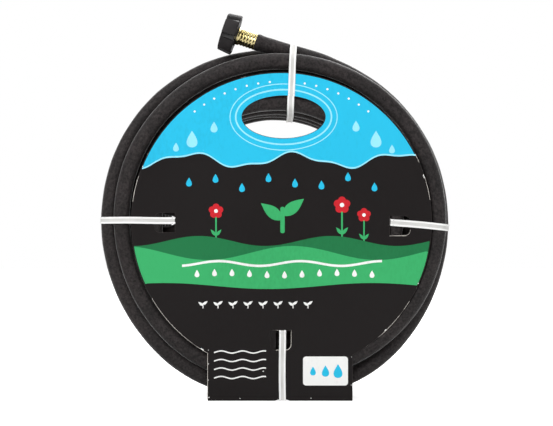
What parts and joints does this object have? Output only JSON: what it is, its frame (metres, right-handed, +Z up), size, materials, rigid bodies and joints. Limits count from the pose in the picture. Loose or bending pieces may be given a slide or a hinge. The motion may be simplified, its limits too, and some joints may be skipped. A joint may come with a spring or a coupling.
{
  "type": "soaker hose",
  "caption": "Black porous rubber soaker hose wound into a flat round coil, tied with white ties to a folded round display card, with a brass and plastic coupling at each end.",
  "frame": {"origin": "on the surface that the card's spine rests on, midway under the coil", "axes": "+Z up, -Y towards the side that the card faces, +X to the right as seen from there"},
  "size_m": [0.355, 0.0882, 0.3912],
  "materials": {
    "hose_rubber": "matt porous recycled rubber, finely grained",
    "brass": "turned brass",
    "brass_crimped": "bright crimped brass",
    "black_plastic": "moulded, satin",
    "washer_rubber": "smooth",
    "restrictor_plastic": "moulded",
    "printed_card": "printed and varnished",
    "tie_plastic": "extruded, satin",
    "tie_wire": "galvanised"
  },
  "bodies": {
    "root": {"hose_coil": "hose_rubber", "hose_lead": "hose_rubber", "hose_tail": "hose_rubber", "inlet_stem": "brass", "inlet_ferrule": "brass_crimped", "outlet_stem": "brass", "outlet_ferrule": "brass_crimped", "display_card": "printed_card", "tie_top": "tie_plastic", "tie_top_wires": "tie_wire", "tie_left": "tie_plastic", "tie_left_wires": "tie_wire", "tie_right": "tie_plastic", "tie_right_wires": "tie_wire", "tie_bottom": "tie_plastic", "tie_bottom_wires": "tie_wire"},
    "swivel_nut": {"inlet_nut": "black_plastic", "inlet_washer": "washer_rubber", "flow_restrictor": "restrictor_plastic"},
    "cap_seal": {"cap_washer": "washer_rubber"},
    "screw_cap": {"end_cap": "black_plastic"}
  },
  "joints": [
    {"name": "nut_swivel", "type": "hinge", "parent": "root", "child": "swivel_nut", "pos_m": [-0.05089, -0.0185, 0.37083], "axis": [-0.9483, 0, 0.3173], "continuous": true},
    {"name": "cap_travel", "type": "slide", "parent": "root", "child": "cap_seal", "axis": [-0.7238, 0.1529, 0.6728], "range_m": [0, 0.00886]},
    {"name": "cap_turn", "type": "hinge", "parent": "cap_seal", "child": "screw_cap", "pos_m": [-0.07871, -0.01381, 0.13698], "axis": [-0.7238, 0.1529, 0.6728], "range_deg": [0, 1440]}
  ],
  "couplings": [
    {"joint": "cap_travel", "follows": "cap_turn", "m_per_rad": 0.00035157}
  ]
}
